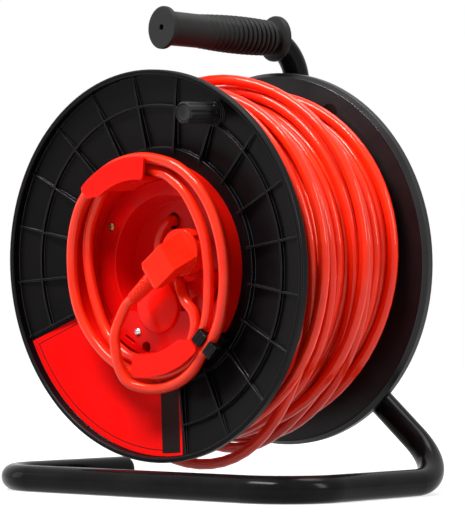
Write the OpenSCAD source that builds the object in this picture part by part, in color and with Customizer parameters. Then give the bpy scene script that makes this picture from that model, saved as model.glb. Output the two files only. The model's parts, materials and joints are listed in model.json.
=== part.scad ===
// Extension cord reel: a cantilevered drum on a bent tube stand, with its plug lead stowed in the hub.
// Millimetres. Z is up, the floor is z = 0, the crank side of the drum faces -Y.

/* [Drum] */
// Outer radius of both flanges
drum_r = 150; // [146:0.5:151]
// Width of the drum over the rims of its flanges
drum_w = 161.6; // [156:0.2:162]
// Height of the centre of the drum's front rim above the floor
axis_h = 174.6; // [172:0.5:180]
// Droop of the drum on its axle, in degrees
drum_tilt = 3.4; // [2.5:0.1:4]

/* [Flanges] */
// Width of the bead at the rim of a flange
rim_w = 4; // [3:0.5:6]
// Thickness of a flange's web
web_t = 2.5; // [2:0.1:3.5]
// Depth of the web behind the rim, at the rim
web_rim_depth = 7.5; // [6:0.5:9]
// Depth of the web behind the rim, at the hub
web_hub_depth = 19; // [17:0.5:21]
// Number of radial ribs
rib_count = 17; // [9:1:21]
// Thickness of a rib
rib_t = 1.5; // [1:0.1:2.5]
// Radius of the ring rib
ring_rib_r = 123; // [112:1:134]
// Angle left without ribs for the label, in degrees
label_span = 78; // [60:1:90]
// Radius on which the crank hole of a flange lies
crank_r = 130; // [127:0.5:134]
// Angle of the crank hole, from +X towards +Z, in degrees
crank_angle = 61; // [50:1:75]

/* [Core and hub cup] */
// Outer radius of the drum's core, whose front end is the hub cup
core_r = 80; // [79:0.5:81]
// Wall of the core
core_wall = 2.5; // [2:0.1:3]
// Distance that the cup stands in front of the rim plane
cup_proud = 1.1; // [0:0.1:2]
// Radius of the lip of a cord hook
hook_r = 84; // [82:0.5:86]
// Inner radius of the post that carries a hook
hook_post_r = 66.5; // [66:0.5:68]
// Angle that a hook spans, in degrees
hook_span = 50; // [40:1:56]

/* [Socket insert] */
// Depth of the insert's shelf behind the rim plane
shelf_depth = 21; // [19:0.5:23]
// Outer radius of the shelf
shelf_r = 71.5; // [70.5:0.5:73]
// Radius of the bowl at the shelf
bowl_r = 54; // [52:0.5:56]
// Depth of the bowl's floor behind the rim plane
bowl_depth = 41; // [39:0.5:43]
// Wall of the insert
insert_wall = 2.5; // [2:0.1:3]
// Diameter of the recess that takes a plug
recess_d = 37; // [36:0.5:38]
// Depth of that recess
recess_depth = 17.5; // [15:0.5:19]
// Distance between the two pin holes
pin_pitch = 19; // [18:0.5:20]

/* [Stand] */
// Diameter of the stand's tube
tube_d = 20.7; // [19:0.1:22]
// Wall of the tube
tube_wall = 1.5; // [1:0.1:2.5]
// Distance between the centrelines of the stand's side bars
foot_w = 310; // [304:1:330]
// Room between the rear flange's rim and the sloping leg
rear_clear = 3.3; // [3:0.1:12]
// Length of the left bar, from the front bar's centreline
left_bar = 156; // [130:1:170]
// Radius of the front corners
front_bend_r = 46; // [40:1:52]
// Radius of the rear corner
rear_bend_r = 49; // [44:1:54]
// Radius of the knee between the sloping leg and the upright
knee_r = 50; // [42:1:54]
// Height of the knee above the floor
knee_h = 142.7; // [138:1:148]

/* [Handle] */
// Height of the grip's axis above the floor
handle_h = 362.6; // [355:1:375]
// Angle of the handle in plan, in degrees
handle_turn = 8.5; // [0:0.5:12]
// Radius of the bend below the grip
handle_bend_r = 36; // [32:1:40]
// Length of the grip
grip_len = 121; // [110:1:130]
// Distance from the upright's centreline to the grip's rear face
grip_start = 23; // [20:1:26]
// Largest diameter of the grip's barrel
grip_d = 30.5; // [29:0.5:33]

/* [Crank knob] */
// Length of the crank knob
knob_len = 33; // [28:0.5:38]
// Diameter of the crank knob
knob_d = 16.6; // [15:0.2:18]

/* [Axle] */
// Diameter of the axle that the drum turns on
axle_d = 16; // [14:0.5:17]
// Diameter of the stud that goes through the upright
stud_d = 8; // [6:0.5:8]

/* [Cord] */
// Diameter of the cord
cord_d = 8.4; // [8:0.1:8.6]
// Turns of cord that show on the drum
turns = 12; // [8:1:12]
// Radius of the outer turns' centreline beside the front flange
wind_r_front = 138; // [130:0.5:140]
// Radius of the outer turns' centreline beside the rear flange
wind_r_rear = 128; // [122:0.5:132]

/* [Plug] */
// Diameter of the plug's face
plug_d = 36; // [34:0.5:36.5]
// Diameter of a plug pin
pin_d = 4.8; // [4.6:0.1:4.8]
// Free length of a plug pin
pin_len = 19; // [18:0.5:19.5]

/* [Hidden] */
$fn = 96;

gap = 0.3;        // running gap between parts that move past each other
fit = 0.05;       // radial clearance of a shaft in its bearing
e = 0.01;         // overshoot of a cutting solid
black = [0.09, 0.09, 0.10];
red = [0.86, 0.10, 0.05];
orange = [0.95, 0.20, 0.03];
steel = [0.72, 0.73, 0.75];

tube_r = tube_d / 2;
cord_r = cord_d / 2;
front_bar_y = -15.7;
upright_y = drum_w * cos(drum_tilt) + 0.6 * drum_r * sin(drum_tilt) + tube_r + rear_clear;
nut_h = 6.5;
washer_t = 1.6;
// depth of the assembly from the knob's end to the nut, which the origin halves
crank_x = crank_r * cos(crank_angle);
crank_z = crank_r * sin(crank_angle);
knob_base_y = 7.2;
knob_end_y = knob_base_y - knob_len;
front_reach = knob_end_y * cos(drum_tilt) - (crank_z + knob_d / 2) * sin(drum_tilt);
stud_end = 4;
rear_reach = upright_y + tube_r + washer_t + nut_h + stud_end;
origin_y = -(front_reach + rear_reach) / 2;

function unit(v) = v / norm(v);
function turn_y(a, p) = [p[0] * cos(a) - p[1] * sin(a), p[0] * sin(a) + p[1] * cos(a)];

// The drum's own frame: x right, y back along the axle, z up, origin at the front rim's centre.
module drum_place() {
    translate([0, origin_y, axis_h])
        rotate([drum_tilt, 0, 0])
            children();
}

// Turns the profile plane (radius, depth) about the drum's axle.
module spin_profile(from = 0, span = 360) {
    rotate([0, -from, 0])
        rotate([-90, 0, 0])
            mirror([0, 1, 0])
                rotate_extrude(angle = span)
                    children();
}

// Carries children from +X to the angle a about the drum's axle.
module at_angle(a) {
    rotate([0, -a, 0])
        children();
}

// A cylinder along the drum's axle, from depth y0 to y1.
module rod_y(r, y0, y1) {
    translate([0, y0, 0])
        rotate([-90, 0, 0])
            cylinder(r = r, h = y1 - y0);
}

// ---------------------------------------------------------------- stand
// One tube: end cap, left bar, front bar, right bar, sloping leg, upright, handle.
leg_run = foot_w / 2;
leg_rise = knee_h - tube_r;
handle_dir = [-sin(handle_turn), -cos(handle_turn), 0];
grip_end = grip_start + grip_len;
tube_stop = grip_end - 4;
tube_path = [
    [-foot_w / 2, front_bar_y + left_bar, tube_r],
    [-foot_w / 2, front_bar_y, tube_r],
    [foot_w / 2, front_bar_y, tube_r],
    [foot_w / 2, upright_y, tube_r],
    [0, upright_y, knee_h],
    [0, upright_y, handle_h],
    [0, upright_y, handle_h] + tube_stop * handle_dir
];
tube_bends = [0, front_bend_r, front_bend_r, rear_bend_r, knee_r, handle_bend_r, 0];

function seg_dir(i) = unit(tube_path[i + 1] - tube_path[i]);
function bend_angle(i) = acos(seg_dir(i - 1) * seg_dir(i));
function tangent(i) = tube_bends[i] == 0 ? 0 : tube_bends[i] * tan(bend_angle(i) / 2);

// A rigid move that takes X to u, Y to v and Z to their cross product, at p.
module axes(u, v, p) {
    w = cross(u, v);
    multmatrix([
        [u[0], v[0], w[0], p[0]],
        [u[1], v[1], w[1], p[1]],
        [u[2], v[2], w[2], p[2]],
        [0, 0, 0, 1]
    ])
        children();
}

function any_normal(d) = unit(cross(d, abs(d[2]) < 0.9 ? [0, 0, 1] : [1, 0, 0]));

module tube_run(r, extra = 0) {
    last = len(tube_path) - 1;
    for (i = [0:last - 1]) {
        d = seg_dir(i);
        a = tube_path[i] + d * (tangent(i) - (i == 0 ? extra : 0));
        b = tube_path[i + 1] - d * (tangent(i + 1) - (i == last - 1 ? extra : 0));
        n = any_normal(d);
        axes(n, cross(d, n), a)
            cylinder(r = r, h = norm(b - a));
    }
    for (i = [1:last - 1]) {
        d0 = seg_dir(i - 1);
        d1 = seg_dir(i);
        side = unit(d1 - (d1 * d0) * d0);
        start = tube_path[i] - d0 * tangent(i);
        axes(-side, d0, start + side * tube_bends[i])
            rotate_extrude(angle = bend_angle(i))
                translate([tube_bends[i], 0])
                    circle(r = r);
        // a hair-thin sleeve over each joint of a bend and a straight run fuses the two
        for (q = [[start, d0], [tube_path[i] + d1 * tangent(i), d1]]) {
            n = any_normal(q[1]);
            axes(n, cross(q[1], n), q[0] - 0.2 * q[1])
                cylinder(r = r + e, h = 0.4);
        }
    }
}

module frame_tube() {
    color(black)
        translate([0, origin_y, 0])
            difference() {
                tube_run(tube_r);
                tube_run(tube_r - tube_wall, 1);
                translate([0, -origin_y, 0])
                    drum_place()
                        rod_y(stud_d / 2 + 0.2, 120, 260);
            }
}

cap_wall = 2;
module tube_end_cap() {
    color(black)
        translate([-foot_w / 2, origin_y + front_bar_y + left_bar, tube_r])
            rotate([-90, 0, 0])
                rotate_extrude()
                    polygon([
                        [0, -14], [tube_r - tube_wall - 0.1, -14], [tube_r - tube_wall - 0.1, 0],
                        [tube_r, 0], [tube_r, cap_wall], [tube_r - 1.2, cap_wall + 1.8],
                        [tube_r - 4, cap_wall + 3.2], [0, cap_wall + 4]
                    ]);
}

// ---------------------------------------------------------------- handle
grip_front_disc = 3;
grip_ribs = 20;
grip_collar = 10;
module handle_grip() {
    rib_zone = grip_len - 2 * grip_front_disc - grip_collar - 6;
    pitch = rib_zone / grip_ribs;
    core = grip_d / 2 - 1.6;
    color([0.10, 0.10, 0.10])
        translate([0, origin_y + upright_y, handle_h])
            difference() {
                axes(cross([0, 0, 1], handle_dir), [0, 0, 1], grip_start * handle_dir)
                    rotate_extrude()
                        union() {
                                // rear disc, barrel and front disc
                                polygon([
                                    [0, 0], [18.5, 0], [18.5, 2], [17.5, 3.5], [core - 2.5, 5],
                                    [core - 1, 30], [core, 55], [core - 0.3, 90],
                                    [13.5, grip_len - grip_collar - 4], [13.5, grip_len - grip_front_disc],
                                    [16.8, grip_len - grip_front_disc], [16.8, grip_len - 0.8],
                                    [16, grip_len], [0, grip_len]
                                ]);
                                for (i = [0:grip_ribs - 1]) {
                                    y = 8 + (i + 0.5) * pitch;
                                    r = core - 2.2 + 2.2 * sin(180 * min(1, (i + 4) / grip_ribs));
                                    translate([r, y])
                                        circle(r = 1.6, $fn = 24);
                                }
                            }
                translate([0, -upright_y, -handle_h])
                    tube_run(tube_r + 0.05);
                axes(cross([0, 0, 1], handle_dir), [0, 0, 1], grip_end * handle_dir)
                    cylinder(r = 2.5, h = 9, center = true);
            }
}

// ---------------------------------------------------------------- axle
saddle_w = 26;
saddle_h = 34;
axle_front = bowl_depth + 15;
saddle_front = drum_w - 3.6;
axle_z = (upright_y / cos(drum_tilt)) * sin(drum_tilt);
module axle_saddle() {
    color(black)
        difference() {
            translate([-saddle_w / 2, origin_y + saddle_front, axis_h + axle_z - saddle_h / 2])
                cube([saddle_w, upright_y - saddle_front - 4, saddle_h]);
            translate([0, origin_y + upright_y, axis_h + axle_z - saddle_h])
                cylinder(r = tube_r + 0.05, h = 2 * saddle_h);
            drum_place()
                rod_y(stud_d / 2 + 0.2, 140, 200);
            drum_place()
                translate([0, saddle_front - 9.7, 0])
                    rotate([-90, 0, 0])
                        cylinder(r = axle_d / 2 + 14, h = 10);
        }
}

circlip_y = axle_front + 3;
module axle() {
    stud_len = (upright_y + tube_r + washer_t + nut_h + stud_end) / cos(drum_tilt) - 0.6;
    color(steel)
        drum_place()
            difference() {
                union() {
                    rod_y(axle_d / 2, axle_front, saddle_front + 0.3);
                    rod_y(stud_d / 2, saddle_front, stud_len);
                }
                spin_profile()
                    translate([axle_d / 2 - 0.8, circlip_y])
                        square([2, 1.3]);
            }
}

module axle_nut() {
    color(steel)
        drum_place()
            difference() {
                translate([0, (upright_y + tube_r) / cos(drum_tilt) + washer_t + 0.7, 0])
                    rotate([-90, 0, 0])
                        cylinder(r = 13 / 2 / cos(30), h = nut_h, $fn = 6);
                rod_y(stud_d / 2, 150, 230);
            }
}

front_boss = [axle_front + 7.5, axle_front + 26];
rear_boss = [drum_w - 41, drum_w - 17];
module axle_washers() {
    back = (upright_y + tube_r) / cos(drum_tilt);
    color(steel)
        drum_place() {
            spin_profile()
                translate([axle_d / 2 + fit, circlip_y + 1.5])
                    square([5, washer_t]);
            spin_profile()
                translate([stud_d / 2 + fit, back + 0.65])
                    square([6, washer_t]);
            spin_profile()
                translate([axle_d / 2 + fit, rear_boss[1] + gap])
                    square([5, washer_t]);
        }
}

module axle_circlip() {
    color(steel)
        drum_place()
            difference() {
                spin_profile()
                    translate([axle_d / 2 - 0.75, circlip_y + 0.05])
                        square([2.9, 1.2]);
                translate([-1.5, circlip_y - 1, 0])
                    cube([3, 4, 20]);
            }
}

bearing_wall = 2;
module bearing(y0, y1, lip) {
    spin_profile()
        polygon([
            [axle_d / 2 + fit, y0], [axle_d / 2 + bearing_wall, y0], [axle_d / 2 + bearing_wall, y1],
            [axle_d / 2 + bearing_wall + 2.5, y1], [axle_d / 2 + bearing_wall + 2.5, y1 + lip],
            [axle_d / 2 + fit, y1 + lip]
        ]);
}

module front_bearing() {
    color([0.85, 0.85, 0.82])
        drum_place()
            mirror([0, 1, 0])
                bearing(-front_boss[1], -front_boss[0], 1.2);
}

module rear_bearing() {
    color([0.85, 0.85, 0.82])
        drum_place()
            bearing(rear_boss[0], rear_boss[1] - 1.2, 1.2);
}

// ---------------------------------------------------------------- flanges
rib_pitch = (360 - label_span) / (rib_count - 1);
first_rib = -80.3;
label_from = first_rib - label_span;
rim_in = drum_r - rim_w;
hub_in = core_r + 0.2;
function web_y(r) = web_hub_depth - (web_hub_depth - web_rim_depth) * (r - core_r) / (rim_in - core_r);
crank_boss_r = 10;
crank_bore_r = 7;
crank_seat_y = web_y(crank_r + 8) + web_t;
collar_len = 11;
screw_angles = [for (k = [0:3]) 20 + 90 * k];
flange_screw_y = web_hub_depth + web_t + collar_len / 2;
// fixing screws of the flange: radial, through the collar into the core
module collar_hole(r) {
    for (a = screw_angles)
        at_angle(a)
            translate([core_r - core_wall - 5, flange_screw_y, 0])
                rotate([0, 90, 0])
                    cylinder(r = r, h = 20, $fn = 32);
}

// The rear flange comes from the same mould, with a pin that leaves the crank bore blind.
blind_floor = 3;
module flange(blind = false) {
    difference() {
        union() {
            // rim bead, web and collar in one revolve
            spin_profile()
                polygon([
                    [drum_r - 0.8, 0], [drum_r, 0.8], [drum_r, 6], [drum_r - 3, web_rim_depth + web_t],
                    [rim_in, web_rim_depth + web_t], [hub_in + 2.6, web_y(hub_in + 2.6) + web_t],
                    [hub_in + 2.6, web_hub_depth + web_t + collar_len],
                    [hub_in, web_hub_depth + web_t + collar_len], [hub_in, web_hub_depth],
                    [rim_in, web_rim_depth], [rim_in, 0.8], [rim_in + 0.8, 0]
                ]);
            // raised band round the hub, and the ring rib
            spin_profile(first_rib, 360 - label_span)
                polygon([
                    [hub_in, web_hub_depth - 4], [91, web_hub_depth - 5.5], [91.5, web_y(91.5) + 0.5],
                    [hub_in, web_hub_depth + 0.5]
                ]);
            spin_profile(first_rib, 360 - label_span)
                polygon([
                    [ring_rib_r - rib_t / 2, 8.4], [ring_rib_r + rib_t / 2, 8.4],
                    [ring_rib_r + rib_t / 2, web_y(ring_rib_r) + 1], [ring_rib_r - rib_t / 2, web_y(ring_rib_r) + 1]
                ]);
            for (k = [0:rib_count - 1])
                at_angle(first_rib + k * rib_pitch)
                    translate([0, 0, -rib_t / 2])
                        linear_extrude(rib_t)
                            polygon([
                                [hub_in + 8, web_hub_depth - 7], [rim_in + 0.5, 6],
                                [rim_in + 0.5, web_y(rim_in) + 1], [hub_in + 8, web_y(hub_in + 8) + 1]
                            ]);
            translate([crank_x, 0, crank_z])
                rod_y(crank_boss_r, knob_base_y + 1, web_y(crank_r) + web_t);
        }
        translate([crank_x, 0, crank_z]) {
            rod_y(crank_boss_r, -5, knob_base_y + 1);
            rod_y(crank_bore_r, blind ? knob_base_y + 1 + blind_floor : -5, 30);
            rod_y(crank_bore_r + 1, crank_seat_y, 30);
        }
        collar_hole(1.9);
        // the rib ends and the boss stay clear of the winding side
        spin_profile()
            polygon([
                [hub_in + 2.7, web_y(hub_in + 2.7) + web_t], [rim_in, web_rim_depth + web_t],
                [rim_in, 40], [hub_in + 2.7, 40]
            ]);
    }
}

module front_flange() {
    color(black)
        drum_place()
            flange();
}

module rear_flange() {
    color(black)
        drum_place()
            translate([0, drum_w, 0])
                mirror([0, 1, 0])
                    flange(blind = true);
}

module flange_screw() {
    translate([core_r - core_wall - 4, flange_screw_y, 0])
        rotate([0, 90, 0]) {
            cylinder(r = 1.7, h = core_wall + 4.2 + 2.6, $fn = 32);
            translate([0, 0, core_wall + 4.2 + 2.6])
                cylinder(r1 = 3.4, r2 = 2.6, h = 1.4, $fn = 32);
        }
}

module flange_screws() {
    color(steel)
        drum_place() {
            for (a = screw_angles)
                at_angle(a)
                    flange_screw();
            translate([0, drum_w, 0])
                mirror([0, 1, 0])
                    for (a = screw_angles)
                        at_angle(a)
                            flange_screw();
        }
}

label_r_in = 86;
label_t = 0.4;
module label_plate() {
    margin = 1.5;
    color(red)
        drum_place()
            spin_profile(label_from + margin, label_span - 2 * margin)
                polygon([
                    [label_r_in, web_y(label_r_in) - 0.05], [rim_in - 0.6, web_y(rim_in - 0.6) - 0.05],
                    [rim_in - 0.6, web_y(rim_in - 0.6) - 0.05 - label_t],
                    [label_r_in, web_y(label_r_in) - 0.05 - label_t]
                ]);
}

// ---------------------------------------------------------------- core and hub cup
core_rear = drum_w - web_hub_depth;
core_in = core_r - core_wall;
plate_y = drum_w - 24.4;
ledge_y = shelf_depth + insert_wall;
ledge_in = 58;
diaphragm_y = axle_front + 12;
hooks = [108, -73];
hook_front = -12.5;
lip_t = 2.5;
post_t = 2.5;
notch_y = 6;
insert_screw_r = 64.4;
insert_screw_a = [151, 31, -105];
post_from = -hook_span / 2 + 1;
post_span = hook_span * 0.68;
boss_r = 4;

module hook_lip() {
    inner = hook_post_r;
    // an annular sector with rounded corners, its inner edge drawn back at the left end
    translate([0, hook_front, 0])
        rotate([-90, 0, 0])
            mirror([0, 1, 0])
                linear_extrude(lip_t)
                    offset(r = 3, $fn = 24)
                        offset(delta = -3)
                            difference() {
                                rotate_extrude_2d(inner, hook_r, hook_span);
                                rotate(hook_span / 2 + 2)
                                    translate([inner - 6, 0])
                                        circle(r = 12, $fn = 48);
                            }
}

// A flat annular sector, centred on +X.
module rotate_extrude_2d(r0, r1, span) {
    n = 16;
    polygon(concat(
        [for (i = [0:n]) let (a = span * (i / n - 0.5)) [r1 * cos(a), r1 * sin(a)]],
        [for (i = [n:-1:0]) let (a = span * (i / n - 0.5)) [r0 * cos(a), r0 * sin(a)]]
    ));
}

module drum_core() {
    color(red)
        drum_place()
            difference() {
                union() {
                    // barrel and cup wall with a rounded rim
                    spin_profile()
                        polygon([
                            [core_in, -cup_proud + 1], [core_in + 0.7, -cup_proud], [core_r - 0.7, -cup_proud],
                            [core_r, -cup_proud + 1], [core_r, core_rear], [core_in, core_rear]
                        ]);
                    // ledge that carries the insert
                    spin_profile()
                        translate([ledge_in, ledge_y])
                            square([core_in - ledge_in + 0.5, 2.5]);
                    // front diaphragm with its bearing boss
                    spin_profile()
                        polygon([
                            [axle_d / 2 + bearing_wall, front_boss[0]], [axle_d / 2 + 6, front_boss[0]],
                            [axle_d / 2 + 6, diaphragm_y], [core_in + 0.5, diaphragm_y],
                            [core_in + 0.5, diaphragm_y + 3], [axle_d / 2 + 6, diaphragm_y + 3],
                            [axle_d / 2 + 6, front_boss[1]], [axle_d / 2 + bearing_wall, front_boss[1]]
                        ]);
                    // rear step, with four bosses for the hub plate's screws
                    spin_profile()
                        translate([core_in - 4, plate_y - 5.5])
                            square([4.5, 5.5]);
                    for (a = [45:90:315])
                        at_angle(a)
                            translate([core_in - 5, 0, 0])
                                rod_y(boss_r + 1, plate_y - 16, plate_y);
                    for (a = insert_screw_a)
                        at_angle(a)
                            translate([insert_screw_r, 0, 0])
                                rod_y(boss_r, ledge_y, ledge_y + 12);
                    for (h = hooks)
                        at_angle(h) {
                            hook_lip();
                            spin_profile(post_from, post_span)
                                translate([hook_post_r, hook_front + 1])
                                    square([post_t, ledge_y - hook_front]);
                        }
                }
                // the rim drops under each hook, where the cord passes
                for (h = hooks)
                    spin_profile(h - hook_span / 2 - 3, hook_span + 6)
                        translate([core_in - 1, -cup_proud - 1])
                            square([core_wall + 2, notch_y + cup_proud + 1]);
                collar_hole(1.7);
                translate([0, drum_w, 0])
                    mirror([0, 1, 0])
                        collar_hole(1.7);
                for (a = insert_screw_a)
                    at_angle(a)
                        translate([insert_screw_r, 0, 0])
                            rod_y(1.5, ledge_y - 1, ledge_y + 10);
                for (a = [45:90:315])
                    at_angle(a)
                        translate([core_in - 5, 0, 0])
                            rod_y(1.5, plate_y - 13, plate_y + 1);
                // way for the cord from the winding into the core
                at_angle(-120)
                    translate([core_r - 6, 40, 0])
                        rotate([0, 90, 0])
                            cylinder(r = 5, h = 12);
            }
}

module rear_hub_plate() {
    color(black)
        drum_place()
            difference() {
                union() {
                    spin_profile()
                        polygon([
                            [axle_d / 2 + bearing_wall, rear_boss[0]], [axle_d / 2 + 6, rear_boss[0]],
                            [axle_d / 2 + 6, plate_y], [core_in - 0.2, plate_y], [core_in - 0.2, plate_y + 3],
                            [axle_d / 2 + 8, plate_y + 3], [axle_d / 2 + 6, rear_boss[1] - 1.2],
                            [axle_d / 2 + bearing_wall, rear_boss[1] - 1.2]
                        ]);
                    for (k = [0:7])
                        at_angle(22.5 + 45 * k)
                            translate([axle_d / 2 + 6, plate_y + 2.9, -1])
                                cube([50, 3.1, 2]);
                }
                for (a = [45:90:315])
                    at_angle(a)
                        translate([core_in - 5, 0, 0])
                            rod_y(1.9, plate_y - 1, plate_y + 5);
            }
}

module pan_screw(y, len, head_r, shank_r) {
    // head towards -Y
    difference() {
        union() {
            rod_y(shank_r, y - e, y + len);
            spin_profile()
                polygon([
                    [0, y - 2.2], [head_r * 0.6, y - 2], [head_r, y - 0.8], [head_r, y], [0, y]
                ]);
        }
        translate([-head_r * 0.55, y - 3, -0.45])
            cube([head_r * 1.1, 1.8, 0.9]);
        translate([-0.45, y - 3, -head_r * 0.55])
            cube([0.9, 1.8, head_r * 1.1]);
    }
}

module hub_plate_screws() {
    color(steel)
        drum_place()
            for (a = [45:90:315])
                at_angle(a)
                    translate([core_in - 5, plate_y + 3, 0])
                        mirror([0, 1, 0])
                            pan_screw(0, 12, 3.4, 1.5);
}

// ---------------------------------------------------------------- crank
crank_pin_r = 4;
module crank_place() {
    drum_place()
        translate([crank_x, 0, crank_z])
            children();
}

module crank_bush() {
    color(black)
        crank_place()
            spin_profile()
                polygon([
                    [crank_pin_r + fit, knob_base_y + 0.3], [8.6, knob_base_y + 0.3], [8.6, knob_base_y + 0.95],
                    [crank_bore_r - 0.02, knob_base_y + 0.95], [crank_bore_r - 0.02, crank_seat_y],
                    [crank_pin_r + fit, crank_seat_y]
                ]);
}

knob_recess = 4;
module crank_pin() {
    color(steel)
        crank_place() {
            rod_y(crank_pin_r, knob_end_y + knob_recess - 1.5, crank_seat_y + 0.5);
            spin_profile()
                polygon([
                    [0, knob_end_y + knob_recess - 2], [4.2, knob_end_y + knob_recess - 1.6],
                    [5.2, knob_end_y + knob_recess - 0.3], [0, knob_end_y + knob_recess - 0.3]
                ]);
            spin_profile()
                translate([0, crank_seat_y + 0.05])
                    square([crank_bore_r + 0.8, 1]);
        }
}

flutes = 8;
module crank_knob() {
    kr = knob_d / 2;
    color(black)
        crank_place()
            difference() {
                spin_profile()
                    polygon([
                        [crank_pin_r + fit, knob_base_y], [kr - 0.6, knob_base_y], [kr, knob_base_y - 0.8],
                        [kr - 0.3, knob_base_y - 12], [kr, knob_end_y + 1.4], [kr - 1.2, knob_end_y],
                        [6.6, knob_end_y], [5.8, knob_end_y + knob_recess], [crank_pin_r + fit, knob_end_y + knob_recess]
                    ]);
                for (k = [0:flutes - 1])
                    at_angle(k * 360 / flutes)
                        translate([kr + 1.1, 0, 0])
                            rod_y(1.9, knob_end_y - 1, knob_base_y - 4);
            }
}

// ---------------------------------------------------------------- socket insert
platform_y = 12;
outlet_x = -2;
outlet_z = -30.5;
lobe_r = 22;
floor_hole = [-9.3, 34];
module bowl_sector(r, from, span, y0, y1) {
    spin_profile(from, span)
        translate([0, y0])
            square([r, y1 - y0]);
}

module socket_insert() {
    floor_r = bowl_r - 3;
    color(red)
        drum_place()
            difference() {
                union() {
                    spin_profile()
                        polygon([
                            [shelf_r, shelf_depth], [shelf_r, ledge_y], [bowl_r + insert_wall, ledge_y],
                            [floor_r + insert_wall, bowl_depth + insert_wall], [0, bowl_depth + insert_wall],
                            [0, bowl_depth], [floor_r, bowl_depth], [bowl_r, shelf_depth + 0.8],
                            [bowl_r + 0.8, shelf_depth]
                        ]);
                    // right platform, cut off along the line where the bowl begins
                    difference() {
                        bowl_sector(floor_r + 1, -52, 50, platform_y + 2, bowl_depth + 1);
                        rod_y(16, 0, 60);
                        translate([outlet_x, 0, outlet_z])
                            rod_y(lobe_r + 9, 0, 60);
                        translate([10, 0, -17])
                            rotate([0, -15, 0])
                                cube([60, 60, 60]);
                    }
                    // lower platform: over the shelf outside, and full depth below the outlet
                    difference() {
                        spin_profile(-142, 88)
                            polygon([
                                [18, platform_y], [shelf_r - 0.5, platform_y], [shelf_r - 0.5, shelf_depth + 1],
                                [bowl_r + 1, shelf_depth + 1], [floor_r + 1, bowl_depth + 1], [18, bowl_depth + 1]
                            ]);
                        intersection() {
                            rod_y(46, 0, 60);
                            translate([-100, 0, outlet_z - 4])
                                cube([200, 60, 100]);
                        }
                    }
                    // wall round the outlet
                    translate([outlet_x, 0, outlet_z])
                        rod_y(lobe_r, platform_y, bowl_depth + 1);
                    // ears that carry the lid's hinge pin
                    for (side = [-1, 1])
                        translate([outlet_x + side * 8.4 - 0.8, 0, 0])
                            difference() {
                                union() {
                                    translate([0, lid_front - 0.2, hinge_z - 3.4])
                                        cube([1.6, 4, 5.4]);
                                    translate([0, platform_y - 0.1, hinge_z - 7])
                                        cube([1.6, 4, 9]);
                                }
                                translate([-1, hinge_y, hinge_z])
                                    rotate([0, 90, 0])
                                        cylinder(r = pin_r + 0.02, h = 4, $fn = 32);
                            }
                }
                // slots for the posts of the cord hooks
                for (h = hooks)
                    spin_profile(h + post_from - 0.4, post_span + 0.8)
                        translate([hook_post_r - gap, 0])
                            square([post_t + 2 * gap, ledge_y + 1]);
                // round pocket in the right platform
                translate([36, 0, -30])
                    rod_y(7, platform_y - 2, platform_y + 6);
                // seat of the outlet
                translate([outlet_x, 0, outlet_z])
                    rod_y(recess_d / 2 + 1.2, 0, 60);
                translate([floor_hole[0], 0, floor_hole[1]])
                    rod_y(6.5, 30, 60);
                for (a = insert_screw_a)
                    at_angle(a)
                        translate([insert_screw_r, 0, 0])
                            rod_y(1.8, 0, 60);
                for (a = [insert_screw_a[2]])
                    at_angle(a)
                        translate([insert_screw_r, 0, 0])
                            rod_y(4.2, 0, shelf_depth);
                // slot through the lower platform
                translate([-33, platform_y - 1, -56])
                    rotate([0, 31, 0])
                        translate([-5.5, 0, -0.9])
                            cube([11, 15, 1.8]);
                // pilot of the outlet's cover screw
                translate([-24.5, 0, -50.5])
                    rod_y(1.4, platform_y - 1, platform_y + 8);
            }
}

module insert_screws() {
    color([0.55, 0.45, 0.35])
        drum_place()
            for (a = insert_screw_a)
                at_angle(a)
                    translate([insert_screw_r, 0, 0])
                        pan_screw(shelf_depth, 12, 3.2, 1.5);
}

recess_floor = platform_y + recess_depth;
module outlet_body() {
    color(red)
        drum_place()
            translate([outlet_x, 0, outlet_z])
                difference() {
                    rod_y(recess_d / 2 + 1.1, platform_y + 0.5, recess_floor + 5);
                    rod_y(recess_d / 2, 0, recess_floor);
                    for (s = [-1, 1])
                        translate([s * pin_pitch / 2, 0, 0])
                            rod_y(2.6, 0, 60);
                    for (s = [-1, 1])
                        translate([-3, platform_y + 4, s * (recess_d / 2 + 0.2) - 0.9])
                            cube([6, recess_depth - 3, 1.8]);
                }
}

module outlet_screw() {
    color(steel)
        drum_place()
            translate([-24.5, 0, -50.5])
                pan_screw(platform_y, 7, 3.1, 1.4);
}

module earth_clips() {
    color(steel)
        drum_place()
            translate([outlet_x, 0, outlet_z])
                for (s = [-1, 1])
                    translate([-2.5, platform_y + 5, s * (recess_d / 2 + 0.2) - 0.4])
                        cube([5, recess_depth - 5, 0.8]);
}

// Sprung round lid over the outlet, hinged at its upper edge.
lid_r = 20.6;
lid_front = platform_y - 3.6;
hinge_z = outlet_z + lid_r + 2.2;
hinge_y = platform_y - 2;
pin_r = 1;
knuckle_r = 2.2;
module outlet_lid() {
    color(red)
        drum_place()
            difference() {
                union() {
                    translate([outlet_x, 0, outlet_z])
                        spin_profile()
                            polygon([
                                [0, lid_front - 1.2], [8, lid_front - 0.9], [15, lid_front],
                                [lid_r - 0.8, lid_front + 0.8], [lid_r, lid_front + 1.6],
                                [lid_r, platform_y - gap], [lid_r - 1.6, platform_y - gap],
                                [lid_r - 1.6, lid_front + 2], [0, lid_front + 1.2]
                            ]);
                    translate([outlet_x - 5, hinge_y, hinge_z])
                        rotate([0, 90, 0])
                            cylinder(r = knuckle_r - 0.3, h = 10);
                    translate([outlet_x - 5, hinge_y - 1.5, outlet_z + lid_r - 1.5])
                        cube([10, 2.2, 3.8]);
                }
                translate([outlet_x - 8, hinge_y, hinge_z])
                    rotate([0, 90, 0])
                        cylinder(r = pin_r + fit, h = 20);
            }
}

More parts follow.
